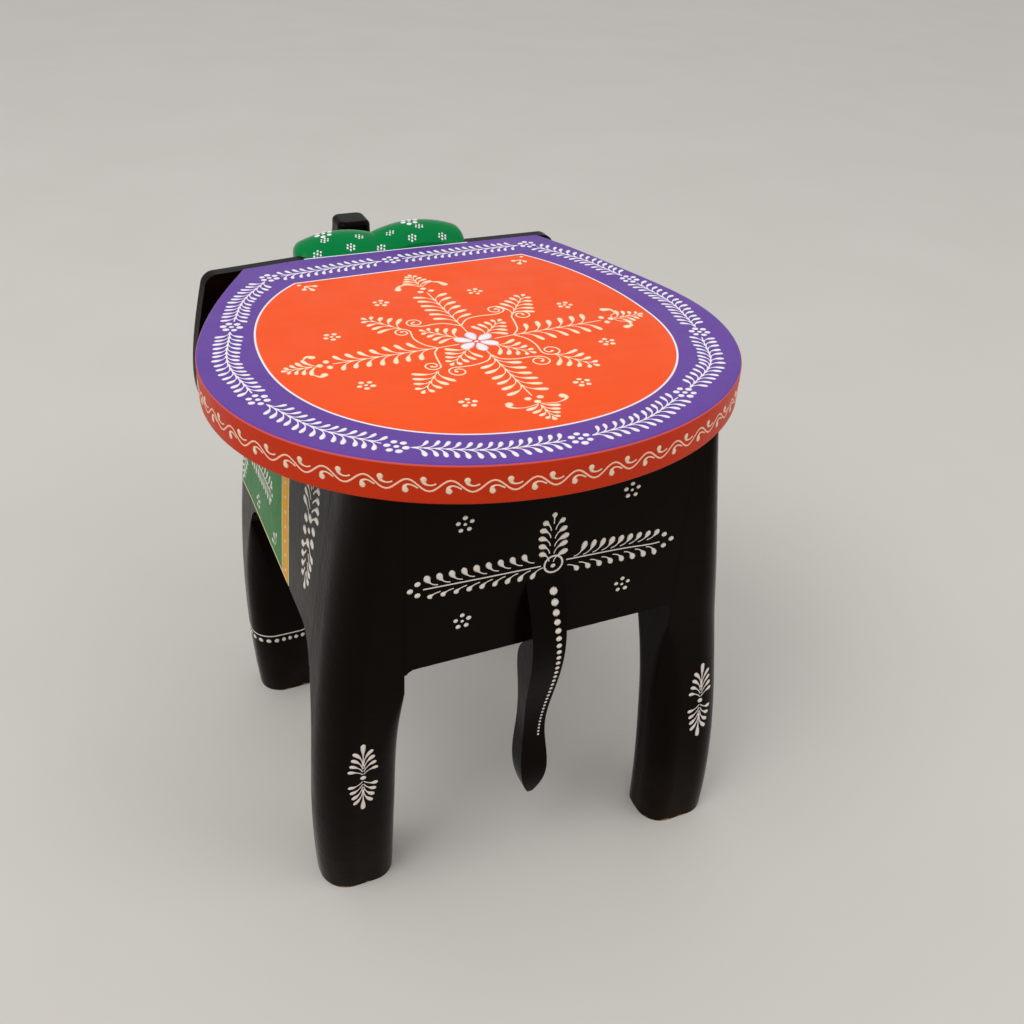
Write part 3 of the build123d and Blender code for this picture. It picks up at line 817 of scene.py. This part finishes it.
def border_garland():
    """Ten flowers round the border, joined by feathers that all run the same way round."""
    knots = [(3.6, -132.5), (86, -124.4), (124, -58), (131, 33), (82, 100), (-4, 122), (-79, 96.3),
             (-129.6, 31.2), (-131.5, -55.5), (-95, -134)]
    swell = [0.4, 4.7, 8.5, 7.0, 7.0, 6.5, 10.0, 6.5, 6.0, 0.6]
    strokes = []
    for number, knot in enumerate(knots):
        strokes += flower(*knot, 4.6, 1.8, 6, TURN / 12 + jitter.uniform(-0.1, 0.1), 0.8)
        start = Vector(knot)
        end = Vector(knots[(number + 1) % len(knots)])
        run = (end - start).normalized()
        outward = Vector((run.y, -run.x))
        middle = (start + end) / 2 + outward * swell[number]
        points = [start + run * 6.6 + outward * swell[number] * 0.2, middle,
                  end - run * 7.6 + outward * swell[number] * 0.2]
        span = Track(smooth(points)).length
        strokes += feather(points, 1.0, span - 6.5, 5.2, 6.2, (7.3, 7.8), (1.2, 1.35))
    return strokes


def edge_vine(run):
    """A wavy vine round the edge of the seat."""
    count = round(run / vine_pitch)
    steps = 12
    points = []
    for step in range(count * steps + 1):
        phase = TURN * step / steps
        points.append((run * step / steps / count, vine_swing * math.cos(phase), 0.5))
    return [points]


def vine_commas(run):
    """A comma above each trough of the vine and one below each crest."""
    count = round(run / vine_pitch)
    pitch = run / count
    below = ((5.0, -1.5), (2.6, -0.2), (0.5, 0.2), (-1.2, -0.9), (-0.9, -2.7))
    above = ((3.3, 1.2), (1.6, 0.4), (-0.4, 0.3), (-2.3, 1.3), (-2.6, 3.1))
    head = 1.65
    strokes = []
    for number in range(count):
        crest = number * pitch
        for middle, shape in ((crest, below), (crest + pitch / 2, above)):
            strokes.append(curl([(middle + x, y) for x, y in shape], head, line_width, 3))
    return strokes


edge_track = Track(outline_of("seat", seat_top - seat_thickness / 2, Vector((0, seat_y)), 540))
edge_lay = lay_edge(edge_track, vine_z)
paint("field_line", field_line(), lay_seat, white_paint)
paint("field_ornament", field_ornament(), lay_seat, cream_paint)
paint("middle_flower", middle_flower(), lay_seat, white_paint)
paint("border_garland", border_garland(), lay_seat, white_paint)
paint("edge_vine", edge_vine(edge_track.length), edge_lay, rose_paint)
paint("edge_commas", vine_commas(edge_track.length), edge_lay, comma_paint)


# ---- rear panel and tail ----
def leaf_row(first, last, count, stem_z, back, fat):
    """Leaves in a row: heads from first to last, tails set back towards the ring by the stem."""
    strokes = []
    for number in range(count):
        head = Vector(first).lerp(Vector(last), number / (count - 1))
        side = 1 if head.y > stem_z else -1
        base = Vector((head.x - back, stem_z + side * 2.3))
        strokes.append(comma(base, (head.x - back * 0.2, base.y + side * 0.6), head, fat))
    return strokes


def rear_panel():
    """A ring with a feather to each side and an upright plume, and four small flowers."""
    strokes = [circle(-1.5, 223, 5.3, 0.6, 24), blob(-1.3, 222, 1.4)]
    strokes.append(stem([(6, 223.3), (40, 224.3), (72, 225.5)]))
    strokes.append(stem([(-9, 224), (-40, 223), (-60, 221.5), (-67, 221.5)]))
    strokes += leaf_row((16.5, 233.5), (70.5, 233.8), 9, 224.3, 6.5, 1.8)
    strokes += leaf_row((11, 216), (69, 219), 9, 224.3, 6.5, 1.7)
    strokes += leaf_row((-20, 233.5), (-65, 230.5), 9, 222.6, -6.5, 1.8)
    strokes += leaf_row((-16.5, 215), (-65, 213.5), 8, 222.6, -6.5, 1.7)
    for x, z in ((79, 226), (75, 229.5), (75, 222.5), (-74.5, 222), (-69.5, 226), (-70, 218.5)):
        strokes.append(blob(x, z, 1.65))
    for side, heads in ((1, ((7.5, 231.5), (8, 236.5), (8.5, 241.5), (8, 246.5), (6.5, 251))),
                        (-1, ((-9.5, 230.5), (-9, 236), (-9.5, 240.5), (-8, 245.5), (-6.5, 251)))):
        for x, z in heads:
            strokes.append(comma((side * 1.3, z - 6.0), (side * 2.0, z - 1.5), (x, z), 1.75))
    strokes.append(leaf((0, 249), (0, 256), 0, 1.6))
    for x, z in ((50, 260), (-45, 260), (50, 199), (-46, 198)):
        strokes += flower(x, z, 3.9, 1.35, 5, 0.3)
    return strokes


def tail_dots():
    """A line of dots that shrink towards the tip."""
    root_z = 207.5
    tip_z = 101
    strokes = []
    z = root_z
    while z > tip_z:
        left = (z - tip_z) / (root_z - tip_z)
        size = 0.72 + 1.6 * left ** 1.6
        x = -1.2 - 2.6 * math.sin(math.pi * (1 - left)) ** 2 + 1.4 * (1 - left) ** 3
        strokes.append(blob(-x, z, size))
        z -= 1.35 * size + 1.35 + 1.4 * left
    return strokes


paint("rear_panel_ornament", rear_panel(), lay_panel, chalk_paint)
paint("tail_dots", tail_dots(), lay_cast(["tail"], (0, 180, 0), (-1, 0, 0), (0, 0, 1)), chalk_paint)


# ---- legs: double sprays behind, anklets in front ----
def double_spray():
    """Two leafy plumes, up and down from one dot."""
    strokes = [blob(0, 0, 1.7)]
    for flip in (1, -1):
        for number in range(4):
            low = 3.0 + 2.3 * number
            out = 8.7 - 1.0 * number
            high = 6.4 + 5.0 * number
            for side in (-1, 1):
                base = (side * hair, flip * low)
                tip = (side * out, flip * high)
                strokes.append(leaf(base, tip, flip * side * 0.27, 1.3))
        strokes.append(leaf((0, flip * 10), (0, flip * 27.4), 0, 1.5))
    return strokes


for side, x, z in (("left", 105.4, 101), ("right", -110.5, 95)):
    leg = "rear_" + side + "_leg"
    lay = lay_cast([leg], (x, 180, z), (-1, 0, 0), (0, 0, 1))
    paint(leg + "_spray", double_spray(), lay, chalk_paint)


def anklet(run, height):
    """A line round the leg with a row of dots hanging below it."""
    steps = 72
    dot_pitch = 6.4
    drop = 4.6
    strokes = [[(run * n / steps, height, 0.55) for n in range(steps + 1)]]
    count = round(run / dot_pitch)
    return strokes + [blob(run * n / count, height - drop, 1.9) for n in range(count)]


for side in ("left", "right"):
    leg = "front_" + side + "_leg"
    low, high = (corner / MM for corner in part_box(leg))
    sign = 1 if side == "left" else -1
    centre = (sign * front_leg_x, (low.y + high.y) / 2, 0)
    wrap = lay_round(leg, centre, anklet_radius)
    paint(leg + "_anklet", anklet(anklet_radius * TURN, anklet_z), wrap, chalk_paint)


# ---- sides: painted cloth ornament and haunch spray ----
def cloth_edging():
    """Cream lines along the hem, which rises at its front corner, the front edge and the ribbon."""
    top = seat_top - seat_thickness - 1.5
    hem = []
    for n in range(68):
        along = 2.0 * n
        short = max(0.0, 1 - along / hem_run)
        rise = hem_rise * short * short * (3 - 2 * short)
        hem.append((cloth_front + along, cloth_hem + rise, trim_line))
    corner = cloth_hem + hem_rise
    count = int((top - corner) / 3)
    strokes = [hem, [(cloth_front, corner + 3.0 * n, trim_line) for n in range(count)]]
    for edge in (-0.5, 0.5):
        points = []
        for step in range(35):
            z = cloth_hem + (top - cloth_hem) * step / 34
            points.append((ribbon_y(z) + edge * ribbon_width, z, trim_line))
        strokes.append(points)
    return strokes


def ribbon_dots():
    """A row of dots down the middle of the ribbon."""
    z = cloth_hem + 5
    strokes = []
    while z < seat_top - seat_thickness - 3:
        strokes.append(blob(ribbon_y(z), z, 1.25))
        z += 8.2
    return strokes


def cloth_ornament():
    """A ring with a feather along the cloth, plumes up and down, small flowers and a sprig."""
    ring_y = -38.0
    ring_z = 209.0
    strokes = [blob(ring_y, ring_z, 1.5), circle(ring_y, ring_z, 4.6, 0.55, 18)]
    along_cloth = [(ring_y + 7, ring_z), (0, ring_z + 1), (25, ring_z)]
    strokes += feather(along_cloth, 2, 50, 5.2, 6.0, (8.4, 8.4), (1.4, 1.4))
    strokes += [blob(28, ring_z, 1.4), blob(26, ring_z + 4, 1.3), blob(26, ring_z - 4, 1.3)]
    strokes += plume((ring_y - 2, ring_z - 7), (ring_y - 7, ring_z - 29), 4.4, 4, 7.5, 4, 1.35)
    strokes += plume((ring_y, ring_z + 7), (ring_y, ring_z + 38), 5.0, 4, 9, 4.5, 1.4, 5)
    for y, z in ((-3, 187), (-4, 243), (26, 236)):
        strokes += flower(y, z, 3.6, 1.3, 5, 0.4)
    strokes += [leaf((71, 175), (74, 168), 0.2, 1.3), leaf((73, 167), (76.5, 159.5), 0.2, 1.3)]
    for lean in (-0.7, 0.0, 0.7):
        ray = Vector((math.cos(2.4 + lean), math.sin(2.4 + lean)))
        strokes.append(leaf(Vector((44, 183)) + ray * 2, Vector((44, 183)) + ray * 9.5, 0.05, 1.4))
    return strokes


def haunch_spray():
    """A six-dot flower with a plume above and a leafy tail below."""
    strokes = flower(0, 0, 7.2, 2.5, 6, 0.5, 0.7)
    for flip, start in ((1, 9.0), (-1, 9.5)):
        for number in range(4):
            base_z = start + 5.2 * number
            for side in (-1, 1):
                out = 12.4 - 0.7 * number if flip > 0 else 9.6 - 1.2 * number
                base = (side * 1.6, flip * (base_z - 2.5))
                tip = (side * out, flip * (base_z + 3.4))
                strokes.append(leaf(base, tip, flip * side * 0.24, 2.1, 0.5))
        strokes.append(leaf((0, flip * (start + 15)), (0, flip * (start + 25)), 0, 1.8, 0.5))
    return strokes


for side, sign in (("left", 1), ("right", -1)):
    flank = [side + "_side_board", "front_" + side + "_leg", "rear_" + side + "_leg"]
    lay = lay_cast(flank, (sign * 130, 0, 0), (0, sign, 0), (0, 0, 1))
    for name, strokes, material in (("cloth_edging", cloth_edging(), straw_paint),
                                    ("ribbon_dots", ribbon_dots(), straw_paint),
                                    ("cloth_ornament", cloth_ornament(), chalk_paint)):
        paint(side + "_" + name, placed(strokes, flip=sign), lay, material)
    haunch = lay_cast(flank, (sign * 110, 101.5, 231), (-0.5, 0.866 * sign, 0), (0, 0, 1))
    paint(side + "_haunch_spray", haunch_spray(), haunch, chalk_paint)


# ---- head: dotted flowers on the green cap, base line, eyes ----
def cap_flowers():
    """Rows of small flowers over both domes, larger clusters on the crest."""
    rows = ((98.0, (-46.8, -24.1, -3.2, 18.7, 40.4)), (105.0, (-39.7, -16.1, 5.4, 26.2)),
            (124.0, (-46.0, -24.0, -2.0, 20.0, 42.0)), (136.0, (-36.0, -14.0, 8.0, 30.0)))
    strokes = []
    for y, spots in rows:
        shorter = 0.6 if y < 110 else 0.9
        for x in spots:
            for stroke in flower(x, y, 2.5, 0.66, 6, 0.3, 1.1):
                strokes.append([(across, y + (up - y) * shorter, radius)
                                for across, up, radius in stroke])
    for x in (-38.2, 21.9):
        strokes += flower(x, 113.0, 4.6, 1.7, 6, 0.2, 0.8)
    return strokes


cap_lay = lay_cast(["head"], (0, 0, 330), (-1, 0, 0), (0, -1, 0))
paint("cap_flowers", cap_flowers(), cap_lay, white_paint)
base_line = [[(57 - 2.0 * n, -93.6 - seat_y, 0.6) for n in range(58)]]
paint("cap_base_line", base_line, lay_seat, white_paint)


def eye():
    """An almond outline with a round pupil."""
    upper = stem([(-8, 0), (-3, 3.4), (3, 3.2), (8, -0.6)], 0.55)
    lower = stem([(-8, 0), (-3, -2.6), (3, -2.8), (8, -0.6)], 0.55)
    return [upper, lower, blob(0, 0.2, 2.0)]


for side, sign in (("left", 1), ("right", -1)):
    lay = lay_cast(["head"], (sign * 62, -122, 262), (0, sign, 0), (0, 0, 1))
    paint(side + "_eye", eye(), lay, chalk_paint)


# ---- floor, light and camera ----
def floor():
    """A plain pale ground."""
    bpy.ops.object.select_all(action="DESELECT")
    bpy.ops.mesh.primitive_plane_add(size=30)
    plane = bpy.context.object
    plane.name = "floor"
    finish = Finish("pale floor")
    faint = noise(finish.tree, finish.place, 5, 3)
    tint = blend(finish.tree, faint, colour("#CFCAC2"), colour("#D6D1CA"))
    finish.tree.links.new(tint, finish.shader.inputs["Base Color"])
    finish.shader.inputs["Roughness"].default_value = 0.7
    finish.shader.inputs["Specular IOR Level"].default_value = 0.2
    plane.data.materials.append(finish.material)


def lamp(name, place, aim, size, watts):
    """A square soft light that faces aim."""
    light = bpy.data.lights.new(name, "AREA")
    light.size = size
    light.energy = watts
    holder = bpy.data.objects.new(name, light)
    holder.location = place
    holder.rotation_euler = (Vector(aim) - Vector(place)).to_track_quat("-Z", "Y").to_euler()
    bpy.context.collection.objects.link(holder)


def camera():
    """Looks down from behind the left haunch."""
    yaw = math.radians(-26.25)
    pitch = math.radians(32.96)
    roll = math.radians(3.37)
    ahead = Vector((math.sin(yaw), -math.cos(yaw), 0))
    forward = ahead * math.cos(pitch) - Vector((0, 0, math.sin(pitch)))
    right = ahead.cross(Vector((0, 0, 1)))
    down = forward.cross(right)
    turned_right = right * math.cos(roll) - down * math.sin(roll)
    turned_down = right * math.sin(roll) + down * math.cos(roll)
    eye_point = bpy.data.cameras.new("camera")
    eye_point.sensor_width = 36
    eye_point.lens = 38.83
    holder = bpy.data.objects.new("camera", eye_point)
    axes = Matrix((turned_right, -turned_down, -forward)).transposed().to_4x4()
    holder.matrix_world = Matrix.Translation((0.2304, 0.5831, 0.5633)) @ axes
    bpy.context.collection.objects.link(holder)
    bpy.context.scene.camera = holder


floor()
lamp("key", (1.6, 0.5, 2.4), (0, 0, 0.2), 1.6, 26)
lamp("fill", (-1.8, 1.6, 1.6), (0, 0, 0.2), 1.6, 9)
world = bpy.data.worlds.new("studio")
world.use_nodes = True
world.node_tree.nodes["Background"].inputs["Color"].default_value = (0.97, 0.98, 1.0, 1)
world.node_tree.nodes["Background"].inputs["Strength"].default_value = 0.72
bpy.context.scene.world = world
bpy.context.scene.view_settings.view_transform = "Standard"
camera()
